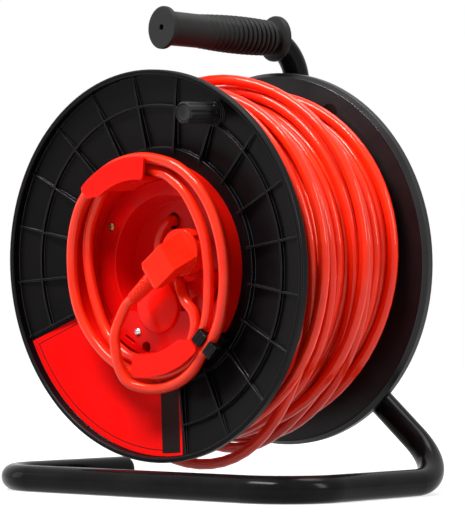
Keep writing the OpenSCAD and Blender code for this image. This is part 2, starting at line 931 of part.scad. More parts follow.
module lid_hinge_pin() {
    color(steel)
        drum_place()
            translate([outlet_x - 9.2, hinge_y, hinge_z])
                rotate([0, 90, 0])
                    cylinder(r = pin_r, h = 18.4);
}

module lid_spring() {
    coils = 3;
    wire = 0.5;
    color(steel)
        drum_place()
            for (s = [-1, 1])
                for (k = [0:coils - 1])
                    translate([outlet_x + s * (5.5 + k * 0.62) - 0.3, hinge_y, hinge_z])
                        rotate([0, 90, 0])
                            difference() {
                                cylinder(r = pin_r + 0.1 + wire, h = 0.6);
                                translate([0, 0, -1])
                                    cylinder(r = pin_r + 0.08, h = 3);
                            }
}

// ---------------------------------------------------------------- cord clip
// A snap clip beside the cup: two grooved jaws that close over the lead, on a foot on the flange.
clip_angle = -43.2;
clip_r = 85.6;
clip_cord_y = -6;
clip_len = 11;
module cord_clip() {
    mouth = 2.3;
    top = clip_cord_y - cord_r - 1.6;
    color(black)
        drum_place()
            at_angle(clip_angle)
                difference() {
                    translate([0, 0, -clip_len / 2])
                        linear_extrude(clip_len)
                            difference() {
                                polygon([
                                    [clip_r - 11.5, top], [clip_r + 10.5, top], [clip_r + 10.5, top + 6],
                                    [clip_r + 6.5, top + 9], [hub_in + 7.2, web_hub_depth - 5.4],
                                    [core_r + 0.6, web_hub_depth - 4.3], [core_r + 0.6, -cup_proud - 0.4],
                                    [core_r - 0.6, -cup_proud - 0.6], [clip_r - 8.6, top + 5.2],
                                    [clip_r - 11.5, top + 5.2]
                                ]);
                                translate([clip_r, clip_cord_y])
                                    circle(r = cord_r + gap + 0.1);
                                translate([clip_r - mouth, top - 1])
                                    square([2 * mouth, 5]);
                            }
                    for (x = [clip_r - 9.5, clip_r - 6, clip_r + 4.5, clip_r + 7.5])
                        translate([x - 0.4, top - e, -clip_len])
                            cube([0.8, 1, 2 * clip_len]);
                }
}

// ---------------------------------------------------------------- winding
wind_from = web_y(wind_r_front - 2) + web_t + cord_r + 0.8;
wind_to = drum_w - web_y(wind_r_rear) - web_t - cord_r - 0.8;
core_clear = 2.4;
skew = 0.14;
rings_per_turn = 24;
ring_sides = 6;
sag_turn = 2.6;
sag_depth = 10;
function wind_r(t) = wind_r_front + (wind_r_rear - wind_r_front) * t / turns;
// t counts turns from the front flange; the angle runs from the top
function wind_angle(t) = 90 + 360 * t;
function bottom(t) = (1 - cos(360 * t)) / 2;
function sag(t) = sag_depth * exp(-pow((t - sag_turn) / 0.13, 2));
function wander(t) = 0.6 * sin(360 * t * 0.37) + 0.4 * sin(360 * t * 1.73);
function wind_point(t) =
    let (r = wind_r(t) + sag(t) + 0.5 * wander(t), a = wind_angle(t),
         y = wind_from + (wind_to - wind_from) * (t / turns) * (1 - skew * bottom(t)))
    [r * cos(a), y, r * sin(a)];
wind_points = [for (k = [0:turns * rings_per_turn]) wind_point(k / rings_per_turn)];

// Tangents, and normals carried along the path without twist.
function path_dirs(p) = [for (i = [0:len(p) - 1])
    unit(p[min(i + 1, len(p) - 1)] - p[max(i - 1, 0)])];
function flatten_on(n, d) = unit(n - (n * d) * d);
function path_normals(d, n0) = [for (i = 0, n = flatten_on(n0, d[0]); i < len(d);
    i = i + 1, n = i < len(d) ? flatten_on(n, d[i]) : n) n];

// A tube of one piece along the points p, closed at both ends.
module swept_tube(p, r, sides, n0) {
    d = path_dirs(p);
    n = path_normals(d, n0);
    last = len(p) - 1;
    rings = [for (i = [0:last]) let (b = cross(d[i], n[i]))
        for (k = [0:sides - 1]) let (a = 360 * k / sides)
            p[i] + r * (cos(a) * n[i] + sin(a) * b)];
    side_faces = [for (i = [0:last - 1]) for (k = [0:sides - 1])
        let (a = i * sides + k, b = i * sides + (k + 1) % sides)
            each [[a, a + sides, b], [b, a + sides, b + sides]]];
    start_cap = [for (k = [1:sides - 2]) [0, k, k + 1]];
    end_cap = [for (k = [1:sides - 2]) [last * sides, last * sides + k + 1, last * sides + k]];
    polyhedron(concat(rings, [p[0], p[last]]), concat(side_faces, start_cap, end_cap), convexity = 10);
}

wind_gap = min([for (i = [0:len(wind_points) - 1]) for (j = [i + rings_per_turn / 2:min(i + 60, len(wind_points) - 1)])
    norm(wind_points[i] - wind_points[j])]) - cord_d;
echo(wind_gap = wind_gap);

module winding_core() {
    color([0.70, 0.12, 0.03])
        drum_place()
            spin_profile()
                polygon([
                    [core_r + 0.3, web_hub_depth + web_t + collar_len + gap],
                    [hub_in + 2.6 + 1.8, web_hub_depth + web_t + collar_len + gap],
                    [hub_in + 2.6 + 1.8, web_y(hub_in + 2.6) + web_t + 1],
                    [wind_r_front - cord_r - core_clear, web_y(wind_r_front) + web_t + gap + 1.6],
                    [wind_r_rear - cord_r - core_clear, drum_w - web_y(wind_r_rear) - web_t - gap - 1.6],
                    [hub_in + 2.6 + 1.8, drum_w - web_y(hub_in + 2.6) - web_t - 1],
                    [hub_in + 2.6 + 1.8, drum_w - web_hub_depth - web_t - collar_len - gap],
                    [core_r + 0.3, drum_w - web_hub_depth - web_t - collar_len - gap]
                ]);
}

module cord_winding() {
    color(orange)
        drum_place()
            swept_tube(wind_points, cord_r, ring_sides, [0, 1, 0]);
}

// ---------------------------------------------------------------- plug lead
plug_x = 27;
plug_z = 10;
plug_front = 5;
plug_back = 17;
relief_a = 216;
relief_y = -8;
block_shift = 5.5;
block_from = -2;
block_to = 24;
relief_len = 26;
relief_dir = [cos(relief_a), 0, sin(relief_a)];
relief_tip = [plug_x, relief_y, plug_z] + (block_to + relief_len) * relief_dir
    + block_shift * [-sin(relief_a), 0, cos(relief_a)];
// Centreline in the drum's frame, from the plug's strain relief to the hole in the bowl's floor.
lead_points = [
    relief_tip, relief_tip + 8.4 * relief_dir,
    [-22, -11, -40], [-24, -15, -52], [-22.5, -16, -65], [-20.5, -15.5, -76], [-14.5, -12.5, -87.6],
    [-2, -8, -92], [14, -6.3, -92], [31, -6.3, -87.5], [45.5, -6.3, -78.5], [55, -5.6, -66.3],
    [66, -6, -55], [74, -6, -41], [79, -6, -20], [80, -6, 0], [77, -6, 21], [69, -6, 43], [56, -6, 61],
    [39, -5.8, 74], [20, -5.5, 80.5], [0, -5.5, 83], [-22, -5.5, 80], [-42, -5.5, 71], [-56, -5.6, 58],
    [-66, -6, 43.5], [-73, -6, 23], [-75, -6, 1], [-73, -6, -20], [-67, -6, -38], [-55, -6, -55.5],
    [-38.5, -5.8, -70], [-20, -5.6, -79], [-4, -4, -82.5], [14, -2, -82.6], [30, -1.5, -78],
    [41, -1.5, -72], [47, -0.8, -63], [50.5, 0, -53.3], [55, -0.5, -44.5], [58.5, -1, -33],
    [60, -1, -19], [60.5, -1, 0], [58, -1, 21], [49.5, -1, 41], [38.5, -1, 57], [24, -1, 68],
    [14, -0.5, 71.5], [6, 0, 73.9], [-4, 0.3, 75], [-22, 0, 72], [-42, 0, 62], [-57, 3, 44.5],
    [-66, 5, 28], [-68, 5, 10], [-66, 5, -9], [-61, 5, -28], [-54, 4.5, -44], [-43.5, 3, -57],
    [-28, 1.5, -67], [-16, 1.5, -71.2], [-8, 1.4, -73.6], [4, 1.5, -75], [20, 1.6, -72],
    [35, 1.6, -65.3], [40, 2, -54.5], [43, 2, -44.5], [41.5, 1.5, -34.5], [34, 1.5, -26], [22, 9, -13],
    [15, 16, -9.5], [8.5, 21, -6], [-1, 24, -3], [-10, 26, 5], [-14.5, 28.5, 16], [-13, 32, 27],
    [-9.3, 37, 34], [-9.3, 44, 34]
];
lead_gap = min([for (i = [0:len(lead_points) - 1]) for (j = [i + 5:len(lead_points) - 1]) j < len(lead_points)
    ? norm(lead_points[i] - lead_points[j]) : 1000]) - cord_d;
echo(lead_gap = lead_gap);

module lead_cord() {
    color(orange)
        drum_place()
            swept_tube(lead_points, cord_r, 10, [0, 1, 0]);
}

// ---------------------------------------------------------------- plug
module plug_place() {
    drum_place()
        translate([plug_x, 0, plug_z])
            rotate([0, -relief_a, 0])
                children();
}

module plug_body() {
    color([0.93, 0.22, 0.08])
        plug_place()
            difference() {
                union() {
                    rod_y(plug_d / 2, plug_front, plug_back);
                    hull() {
                        translate([block_from - 10, plug_front, -11])
                            cube([26, 1, 24]);
                        translate([block_from, -15, block_shift - 12])
                            cube([block_to - block_from - 3, 1, 24]);
                        translate([block_to - 3, relief_y - 6, block_shift - 9])
                            cube([3, 11, 18]);
                    }
                }
                // side grooves for the earth clips
                for (s = [-1, 1])
                    translate([s > 0 ? plug_d / 2 - 2.5 : -plug_d / 2 - 1, plug_front + 2, -2.5])
                        cube([3.5, 20, 5]);
                for (s = [-1, 1])
                    translate([0, 0, s * pin_pitch / 2])
                        rod_y(pin_d / 2, plug_back - 6, plug_back + 1);
            }
}

module plug_pins() {
    color(steel)
        plug_place()
            for (s = [-1, 1])
                translate([0, 0, s * pin_pitch / 2]) {
                    rod_y(pin_d / 2, plug_back - 6, plug_back + pin_len - 1.2);
                    spin_profile()
                        polygon([
                            [0, plug_back + pin_len - 1.2 - e], [pin_d / 2, plug_back + pin_len - 1.2 - e],
                            [pin_d / 2 - 1.2, plug_back + pin_len], [0, plug_back + pin_len]
                        ]);
                }
}

module plug_relief() {
    color([0.95, 0.35, 0.18])
        plug_place()
            translate([block_to, relief_y, block_shift])
                rotate([0, 90, 0])
                    difference() {
                        cylinder(r1 = 6.4, r2 = 5, h = relief_len);
                        for (s = [-1, 1])
                            for (k = [0:4])
                                translate([-10, s * 6.6 - 2, 4 + k * 4.2])
                                    cube([20, 4, 1.8]);
                    }
}

frame_tube();
tube_end_cap();
handle_grip();
axle_saddle();
axle();
axle_nut();
axle_washers();
axle_circlip();
front_bearing();
rear_bearing();
front_flange();
rear_flange();
drum_core();
rear_hub_plate();
hub_plate_screws();
flange_screws();
label_plate();
crank_bush();
crank_pin();
crank_knob();
socket_insert();
insert_screws();
outlet_body();
outlet_screw();
earth_clips();
outlet_lid();
lid_hinge_pin();
lid_spring();
cord_clip();
winding_core();
cord_winding();
lead_cord();
plug_body();
plug_pins();
plug_relief();
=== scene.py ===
import json
from math import radians

import bpy
import numpy as np
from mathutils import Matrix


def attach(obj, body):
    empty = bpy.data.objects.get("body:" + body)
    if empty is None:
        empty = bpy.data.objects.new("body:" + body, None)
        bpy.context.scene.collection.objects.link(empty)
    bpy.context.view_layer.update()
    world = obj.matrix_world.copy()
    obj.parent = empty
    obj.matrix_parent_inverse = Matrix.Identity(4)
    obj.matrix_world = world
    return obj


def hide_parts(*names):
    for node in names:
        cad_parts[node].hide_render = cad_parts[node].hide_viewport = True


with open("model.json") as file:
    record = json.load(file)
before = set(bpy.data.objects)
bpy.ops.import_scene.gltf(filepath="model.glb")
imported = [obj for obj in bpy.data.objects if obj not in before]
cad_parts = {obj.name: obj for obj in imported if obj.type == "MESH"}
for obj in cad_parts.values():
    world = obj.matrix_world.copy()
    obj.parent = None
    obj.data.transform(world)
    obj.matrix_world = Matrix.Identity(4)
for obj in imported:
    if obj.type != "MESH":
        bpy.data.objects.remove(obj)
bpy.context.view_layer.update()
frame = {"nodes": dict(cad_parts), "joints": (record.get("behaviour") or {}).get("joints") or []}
scene = bpy.context.scene
scene.view_settings.view_transform = "Standard"

# ---------------------------------------------------------------- camera
# It stands low, at the height of the hub, off the crank side's right, and looks very slightly
# up. The long lens keeps the two flanges nearly the same size, and a small shift keeps the whole
# foot in the picture.
camera_data = bpy.data.cameras.new("camera")
camera_data.lens = 181.5
camera_data.shift_x = -0.0059
camera_data.sensor_fit = "VERTICAL"
camera_data.sensor_height = 36
camera_data.clip_end = 50
camera = bpy.data.objects.new("camera", camera_data)
camera.location = (1.31775, -1.54509, 0.12302)
camera.rotation_euler = (radians(91.74), 0, radians(40.14))
scene.collection.objects.link(camera)
scene.camera = camera

# ---------------------------------------------------------------- floor, world and lamps
# A wide pale floor under a white surround, lit by a wide soft box above the front, a tall narrow
# one on the right whose edge shows in the glossy plastic, and weaker ones on the left and
# overhead.
floor_size = 12
floor_mesh = bpy.data.meshes.new("floor")
floor_half = floor_size / 2
floor_mesh.from_pydata(
    [(-floor_half, -floor_half, 0), (floor_half, -floor_half, 0),
     (floor_half, floor_half, 0), (-floor_half, floor_half, 0)], [], [(0, 1, 2, 3)])
floor = bpy.data.objects.new("floor", floor_mesh)
scene.collection.objects.link(floor)


def seen_directly(tree):
    """An output that is 1 for camera, glossy and transmission rays, and 0 for the others."""
    path = tree.nodes.new("ShaderNodeLightPath")
    any_ray = path.outputs["Is Camera Ray"]
    for ray in ("Is Glossy Ray", "Is Transmission Ray"):
        either = tree.nodes.new("ShaderNodeMath")
        either.operation = "MAXIMUM"
        tree.links.new(any_ray, either.inputs[0])
        tree.links.new(path.outputs[ray], either.inputs[1])
        any_ray = either.outputs[0]
    return any_ray


# what shows of the floor is lifted towards white, and the shadow on it stays
floor_paint = bpy.data.materials.new("floor_paint")
floor_paint.use_nodes = True
floor_shader = floor_paint.node_tree.nodes["Principled BSDF"]
floor_shader.inputs["Base Color"].default_value = (0.38, 0.38, 0.38, 1)
floor_shader.inputs["Roughness"].default_value = 0.8
floor_shader.inputs["Specular IOR Level"].default_value = 0.1
floor_shader.inputs["Emission Color"].default_value = (1, 1, 1, 1)
floor_new, floor_link = floor_paint.node_tree.nodes.new, floor_paint.node_tree.links.new
floor_spot, floor_reach = floor_new("ShaderNodeNewGeometry"), floor_new("ShaderNodeVectorMath")
floor_reach.operation = "LENGTH"
floor_lift, floor_glow = floor_new("ShaderNodeMapRange"), floor_new("ShaderNodeMath")
floor_lift.interpolation_type = "SMOOTHSTEP"
for socket, value in (("From Min", 0.3), ("From Max", 1.6), ("To Min", 0.72), ("To Max", 0.97)):
    floor_lift.inputs[socket].default_value = value
floor_glow.operation = "MULTIPLY"
floor_link(floor_spot.outputs["Position"], floor_reach.inputs[0])
floor_link(floor_reach.outputs["Value"], floor_lift.inputs["Value"])
floor_link(floor_lift.outputs["Result"], floor_glow.inputs[0])
floor_link(seen_directly(floor_paint.node_tree), floor_glow.inputs[1])
floor_link(floor_glow.outputs[0], floor_shader.inputs["Emission Strength"])
floor_mesh.materials.append(floor_paint)

world = bpy.data.worlds.new("surround")
world.use_nodes = True
scene.world = world
nodes, links = world.node_tree.nodes, world.node_tree.links
nodes.clear()
white, dim = nodes.new("ShaderNodeBackground"), nodes.new("ShaderNodeBackground")
white.inputs["Color"].default_value = (1, 1, 1, 1)
dim.inputs["Color"].default_value = (0.95, 0.97, 1, 1)
dim.inputs["Strength"].default_value = 0.16
blend, surround = nodes.new("ShaderNodeMixShader"), nodes.new("ShaderNodeOutputWorld")
links.new(seen_directly(world.node_tree), blend.inputs["Fac"])
links.new(dim.outputs[0], blend.inputs[1])
links.new(white.outputs[0], blend.inputs[2])
links.new(blend.outputs[0], surround.inputs["Surface"])


def soft_box(name, place, turn, size, power):
    """A rectangular lamp of that size in metres, turned by three angles in degrees."""
    data = bpy.data.lights.new(name, "AREA")
    data.shape = "RECTANGLE"
    data.size, data.size_y = size
    data.energy = power
    lamp = bpy.data.objects.new(name, data)
    lamp.location = place
    lamp.rotation_euler = [radians(a) for a in turn]
    scene.collection.objects.link(lamp)


soft_box("key_box", (-0.15, -1.2, 1.75), (38, 0, -4), (1.2, 0.42), 66)
soft_box("right_box", (1.6, 0.2, 0.9), (66, 0, 98), (0.35, 0.9), 13)
soft_box("left_box", (-1.7, -0.9, 0.6), (78, 0, -60), (0.6, 0.9), 3)
soft_box("top_box", (0.3, 0.5, 1.7), (-12, 0, 0), (0.8, 0.6), 12)

# ---------------------------------------------------------------- plug lead
# Half-stiff PVC cord, 8.4 mm thick, that comes out of the hole in the bowl's floor, goes a
# little over twice round the cord hooks and ends in the plug's strain relief.
drum_joint = next(j for j in frame["joints"] if j["name"] == "drum_spin")
drum_centre = np.array(drum_joint["pos_m"])
across, axle = np.array([1.0, 0, 0]), np.array(drum_joint["axis"])
upward = np.cross(across, axle)
cord_d = 0.0084


def on_drum(points):
    """Points (across, behind the front rim, up) of the drum's own frame, put in the row frame."""
    p = np.asarray(points, float)
    return drum_centre + p[..., :1] * across + p[..., 1:2] * axle + p[..., 2:] * upward


def rounded_route(corners, steps):
    """A Catmull-Rom curve through the corners: each span is a cubic whose slope at a corner is
    half the step from the corner before it to the corner after it."""
    c = np.vstack([2 * corners[0] - corners[1], corners, 2 * corners[-1] - corners[-2]])
    s = np.arange(steps)[None, :, None] / steps
    a, b, d, e = c[:-3, None], c[1:-2, None], c[2:-1, None], c[3:, None]
    spans = 0.5 * (2 * b + (d - a) * s + (2 * a - 5 * b + 4 * d - e) * s ** 2
                   + (3 * b - a - 3 * d + e) * s ** 3)
    return np.vstack([spans.reshape(-1, 3), corners[-1:]])


plug_centre = np.array([0.027, 0, 0.010])
relief_angle, relief_depth, relief_shift = radians(216), -0.008, 0.0055
relief_start, relief_len = 0.024, 0.026
relief_way = np.array([np.cos(relief_angle), 0, np.sin(relief_angle)])
relief_side = np.array([-np.sin(relief_angle), 0, np.cos(relief_angle)])
relief_tip = (plug_centre + [0, relief_depth, 0] + relief_side * relief_shift
              + relief_way * (relief_start + relief_len))
# corners of the route in the drum's own frame, from the relief to the hole
lead_corners = np.array([
    relief_tip, relief_tip + cord_d * relief_way,
    (-0.022, -0.011, -0.04), (-0.024, -0.015, -0.052), (-0.0225, -0.016, -0.065),
    (-0.0205, -0.0155, -0.076), (-0.0145, -0.0125, -0.0876), (-0.002, -0.008, -0.092),
    (0.014, -0.0063, -0.092), (0.031, -0.0063, -0.0875), (0.0455, -0.0063, -0.0785),
    (0.055, -0.0056, -0.0663), (0.066, -0.006, -0.055), (0.074, -0.006, -0.041),
    (0.079, -0.006, -0.02), (0.08, -0.006, 0), (0.077, -0.006, 0.021), (0.069, -0.006, 0.043),
    (0.056, -0.006, 0.061), (0.039, -0.0058, 0.074), (0.02, -0.0055, 0.0805),
    (0, -0.0055, 0.083), (-0.022, -0.0055, 0.08), (-0.042, -0.0055, 0.071),
    (-0.056, -0.0056, 0.058), (-0.066, -0.006, 0.0435), (-0.073, -0.006, 0.023),
    (-0.075, -0.006, 0.001), (-0.073, -0.006, -0.02), (-0.067, -0.006, -0.038),
    (-0.055, -0.006, -0.0555), (-0.0385, -0.0058, -0.07), (-0.02, -0.0056, -0.079),
    (-0.004, -0.004, -0.0825), (0.014, -0.002, -0.0826), (0.03, -0.0015, -0.078),
    (0.041, -0.0015, -0.072), (0.047, -0.0008, -0.063), (0.0505, 0, -0.0533),
    (0.055, -0.0005, -0.0445), (0.0585, -0.001, -0.033), (0.06, -0.001, -0.019),
    (0.0605, -0.001, 0), (0.058, -0.001, 0.021), (0.0495, -0.001, 0.041),
    (0.0385, -0.001, 0.057), (0.024, -0.001, 0.068), (0.014, -0.0005, 0.0715),
    (0.006, 0, 0.0739), (-0.004, 0.0003, 0.075), (-0.022, 0, 0.072), (-0.042, 0, 0.062),
    (-0.057, 0.003, 0.0445), (-0.066, 0.005, 0.028), (-0.068, 0.005, 0.01),
    (-0.066, 0.005, -0.009), (-0.061, 0.005, -0.028), (-0.054, 0.0045, -0.044),
    (-0.0435, 0.003, -0.057), (-0.028, 0.0015, -0.067), (-0.016, 0.0015, -0.0712),
    (-0.008, 0.0014, -0.0736), (0.004, 0.0015, -0.075), (0.02, 0.0016, -0.072),
    (0.035, 0.0016, -0.0653), (0.04, 0.002, -0.0545), (0.043, 0.002, -0.0445),
    (0.0415, 0.0015, -0.0345), (0.034, 0.0015, -0.026), (0.022, 0.009, -0.013),
    (0.015, 0.016, -0.0095), (0.0085, 0.021, -0.006), (-0.001, 0.024, -0.003),
    (-0.01, 0.026, 0.005), (-0.0145, 0.0285, 0.016), (-0.013, 0.032, 0.027),
    (-0.0093, 0.037, 0.034), (-0.0093, 0.044, 0.034)])
points_per_span = 6
lead_route = on_drum(rounded_route(lead_corners, points_per_span))[::-1]
lead_curve = bpy.data.curves.new("plug_lead", "CURVE")
lead_curve.dimensions = "3D"
lead_curve.bevel_depth = cord_d / 2
lead_curve.bevel_resolution = 6
lead_curve.use_fill_caps = True
lead_spline = lead_curve.splines.new("POLY")
lead_spline.points.add(len(lead_route) - 1)
lead_spline.points.foreach_set("co", np.c_[lead_route, np.ones(len(lead_route))].ravel())
plug_lead = bpy.data.objects.new("plug_lead", lead_curve)
scene.collection.objects.link(plug_lead)


def surface_grain():
    """A node group for moulded, painted and metal surfaces. It rounds sharp edges in the normal,
    adds a fine grain to it, and gives two masks: Mottle, soft blotches of handling and dust, and
    Edge, which is 1 where the surface turns sharply."""
    group = bpy.data.node_groups.new("surface_grain", "ShaderNodeTree")
    for name, value in (("Edge Radius", 0.0006), ("Grain Scale", 900.0), ("Grain Depth", 0.2),
                        ("Mottle Scale", 25.0)):
        socket = group.interface.new_socket(name, in_out="INPUT", socket_type="NodeSocketFloat")
        socket.default_value = value
    for name, kind in (("Normal", "NodeSocketVector"), ("Mottle", "NodeSocketFloat"),
                       ("Edge", "NodeSocketFloat")):
        group.interface.new_socket(name, in_out="OUTPUT", socket_type=kind)
    new, link = group.nodes.new, group.links.new
    given, result = new("NodeGroupInput"), new("NodeGroupOutput")
    place = new("ShaderNodeTexCoord")
    rounded = new("ShaderNodeBevel")
    rounded.samples = 4
    link(given.outputs["Edge Radius"], rounded.inputs["Radius"])
    grain = new("ShaderNodeTexNoise")
    grain.inputs["Detail"].default_value = 3
    link(place.outputs["Object"], grain.inputs["Vector"])
    link(given.outputs["Grain Scale"], grain.inputs["Scale"])
    bump = new("ShaderNodeBump")
    bump.inputs["Distance"].default_value = 0.0002
    link(given.outputs["Grain Depth"], bump.inputs["Strength"])
    link(grain.outputs["Fac"], bump.inputs["Height"])
    link(rounded.outputs["Normal"], bump.inputs["Normal"])
    link(bump.outputs["Normal"], result.inputs["Normal"])
    blotches = new("ShaderNodeTexNoise")
    blotches.inputs["Detail"].default_value = 6
    blotches.inputs["Roughness"].default_value = 0.65
    link(place.outputs["Object"], blotches.inputs["Vector"])
    link(given.outputs["Mottle Scale"], blotches.inputs["Scale"])
    spread = new("ShaderNodeMapRange")
    spread.inputs["From Min"].default_value = 0.35
    spread.inputs["From Max"].default_value = 0.7
    link(blotches.outputs["Fac"], spread.inputs["Value"])
    link(spread.outputs["Result"], result.inputs["Mottle"])
    true_normal, turned = new("ShaderNodeNewGeometry"), new("ShaderNodeVectorMath")
    turned.operation = "DOT_PRODUCT"
    link(rounded.outputs["Normal"], turned.inputs[0])
    link(true_normal.outputs["Normal"], turned.inputs[1])
    sharp = new("ShaderNodeMapRange")
    sharp.inputs["From Min"].default_value = 0.995
    sharp.inputs["From Max"].default_value = 0.85
    link(turned.outputs["Value"], sharp.inputs["Value"])
    link(sharp.outputs["Result"], result.inputs["Edge"])
    return group


grain_group = surface_grain()


def finish_of(name, base, worn, rough, worn_rough, edge=0.0006, scale=900.0, depth=0.2,
              blotch=25.0, wear=0.0, metallic=0.0, coat=0.0, coat_rough=0.05, specular=0.5,
              sheen_tint=(1, 1, 1), edge_glint=0.0):
    """A Principled material whose colour and roughness go from base to worn with the group's
    blotches, and whose sharp edges take the worn colour by the share wear. Its broad reflection
    is of the sheen tint, and its coat's is white. Sharp edges get a painted highlight by the
    share edge_glint: they are made grey and metallic so that they glint."""
    material = bpy.data.materials.new(name)
    material.use_nodes = True
    tree = material.node_tree
    new, link = tree.nodes.new, tree.links.new
    shader = tree.nodes["Principled BSDF"]
    shader.inputs["Metallic"].default_value = metallic
    shader.inputs["Coat Weight"].default_value = coat
    shader.inputs["Coat Roughness"].default_value = coat_rough
    shader.inputs["Specular IOR Level"].default_value = specular
    shader.inputs["Specular Tint"].default_value = (*sheen_tint, 1)
    surface = new("ShaderNodeGroup")
    surface.node_tree = grain_group
    for socket, value in (("Edge Radius", edge), ("Grain Scale", scale), ("Grain Depth", depth),
                          ("Mottle Scale", blotch)):
        surface.inputs[socket].default_value = value
    share = new("ShaderNodeMath")
    share.operation = "MULTIPLY_ADD"
    share.use_clamp = True
    share.inputs[1].default_value = wear
    link(surface.outputs["Edge"], share.inputs[0])
    blotch_share = new("ShaderNodeMath")
    blotch_share.operation = "MULTIPLY"
    blotch_share.inputs[1].default_value = 0.5
    link(surface.outputs["Mottle"], blotch_share.inputs[0])
    link(blotch_share.outputs[0], share.inputs[2])
    colour = new("ShaderNodeMix")
    colour.data_type = "RGBA"
    colour.inputs["A"].default_value = (*base, 1)
    colour.inputs["B"].default_value = (*worn, 1)
    link(share.outputs[0], colour.inputs["Factor"])
    roughness = new("ShaderNodeMapRange")
    roughness.inputs["To Min"].default_value = rough
    roughness.inputs["To Max"].default_value = worn_rough
    link(surface.outputs["Mottle"], roughness.inputs["Value"])
    polished = new("ShaderNodeMapRange")
    polished.inputs["To Max"].default_value = 0.14
    link(surface.outputs["Edge"], polished.inputs["Value"])
    link(roughness.outputs["Result"], polished.inputs["To Min"])
    link(polished.outputs["Result"], shader.inputs["Roughness"])
    link(colour.outputs["Result"], shader.inputs["Base Color"])
    # painted highlight: sharp edges turn grey and metallic by the share edge_glint, so that they
    # glint
    if edge_glint:
        glint = new("ShaderNodeMath")
        glint.operation = "MULTIPLY"
        glint.inputs[1].default_value = edge_glint
        link(surface.outputs["Edge"], glint.inputs[0])
        link(glint.outputs[0], shader.inputs["Metallic"])
        painted_glint_colour = new("ShaderNodeMix")
        painted_glint_colour.data_type = "RGBA"
        painted_glint_colour.inputs["B"].default_value = (0.16, 0.16, 0.17, 1)
        link(glint.outputs[0], painted_glint_colour.inputs["Factor"])
        link(colour.outputs["Result"], painted_glint_colour.inputs["A"])
        link(painted_glint_colour.outputs["Result"], shader.inputs["Base Color"])
    link(surface.outputs["Normal"], shader.inputs["Normal"])
    return material


cord_jacket = finish_of("cord_jacket", (0.88, 0.024, 0.003), (0.74, 0.008, 0.006), 0.36, 0.46,
                        edge=0.0002, scale=500, depth=0.04, blotch=60, coat=0.42,
                        coat_rough=0.035, specular=0.35, sheen_tint=(1, 0.22, 0.04))
lead_curve.materials.append(cord_jacket)
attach(plug_lead, "drum")
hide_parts("lead_cord")

# ---------------------------------------------------------------- wound cord
# The drum holds fifty metres of that cord. Its last layers are laid turn on turn: twelve turns
# side by side towards the rear flange, then seven on top of them on the way back, each leaning
# its own way so that they cross. One of those hangs slack under the drum.
bed_turns, top_turns, rings_per_turn, cord_sides = 12, 7, 72, 20
depth_front, depth_rear = 0.01674, 0.14346
bed_r_front, bed_r_rear = 0.1285, 0.1225
slack_turn, slack_depth, slack_width = 17.5, 0.012, 0.13
# how far the bed's turns lag at the bottom, how far the top turns lean to either side, and where
# and how fast the cord turns back at the rear flange, in turns
bed_lag, top_lean = 0.07, 0.016
turn_delay, turn_ease = 0.3, 0.08
# centre distance of turns that touch, in diameters, and the rounds that settle them
lying_apart, settling_rounds = 1.03, 8


def smoothed(values, reach):
    """Running mean of the values, weighted by a raised cosine over `reach` samples each way."""
    weight = np.hanning(2 * reach + 3)[1:-1]
    return np.convolve(np.pad(values, reach, mode="edge"), weight / weight.sum(), mode="valid")


def winding_depth(t):
    """Depth of the cord after t turns. The first twelve turns go evenly to the rear flange and
    lag behind at the bottom of each turn. The others come back, and lean by one cosine wave a
    turn whose height swells and changes sign from turn to turn."""
    lag = 1 - bed_lag * (1 - np.cos(2 * np.pi * t))
    span = depth_rear - depth_front
    there = np.clip(t / bed_turns, 0, 1)
    back = np.clip((t - bed_turns) / top_turns, 0, 1)
    swell = np.sin(2 * np.pi * 0.31 * (t - bed_turns) + 0.4)
    lean = top_lean * swell * np.cos(2 * np.pi * t + 0.9)
    turned = 1 / (1 + np.exp(-(t - bed_turns - turn_delay) / turn_ease))
    depth = depth_front + span * (there * (1 - turned) + (1 - back) * turned) * lag
    return smoothed(np.clip(depth + lean * turned, depth_front, depth_rear), 4)


def laid_radius(depth):
    """Radius of each point of the cord: that of the layer below, or where an earlier turn lies
    less than a diameter to its side, the height at which the round cords touch. The stiffness of
    the cord is a running maximum and a running mean over a few points."""
    below = bed_r_front + (bed_r_rear - bed_r_front) * (depth - depth_front) / (
        depth_rear - depth_front)
    radius, reach = below, 5
    for _ in range(settling_rounds):
        bed = below.copy()
        for turn_back in range(1, bed_turns + top_turns):
            n = turn_back * rings_per_turn
            apart = depth[n:] - depth[:-n]
            rise = np.sqrt(np.clip((lying_apart * cord_d) ** 2 - apart ** 2, 0, None))
            bed[n:] = np.where(rise > 0, np.maximum(bed[n:], radius[:-n] + rise), bed[n:])
        held = np.lib.stride_tricks.sliding_window_view(np.pad(bed, reach, mode="edge"),
                                                        2 * reach + 1).max(-1)
        radius = smoothed(held, reach)
    return radius


def round_drum(t, radius, depth):
    """Points at those radii and depths; the angle runs anticlockwise from the top, a turn a
    unit of t."""
    angle = np.pi / 2 + 2 * np.pi * t
    return on_drum(np.stack([radius * np.cos(angle), depth, radius * np.sin(angle)], -1))


def cord_surface(path, toward, radius, around):
    """Grid of points: ring i stands at path point i, at radius times the cosine of the ring angle
    along `toward` with its part along the path taken out, and times the sine along the cross
    product of the path's direction and that."""
    way = np.gradient(path, axis=0)
    way /= np.linalg.norm(way, axis=1)[:, None]
    first = toward - (way @ toward)[:, None] * way
    first /= np.linalg.norm(first, axis=1)[:, None]
    second = np.cross(way, first)
    angle = 2 * np.pi * np.arange(around) / around
    return (path[:, None] + radius * (np.cos(angle)[None, :, None] * first[:, None]
                                      + np.sin(angle)[None, :, None] * second[:, None]))


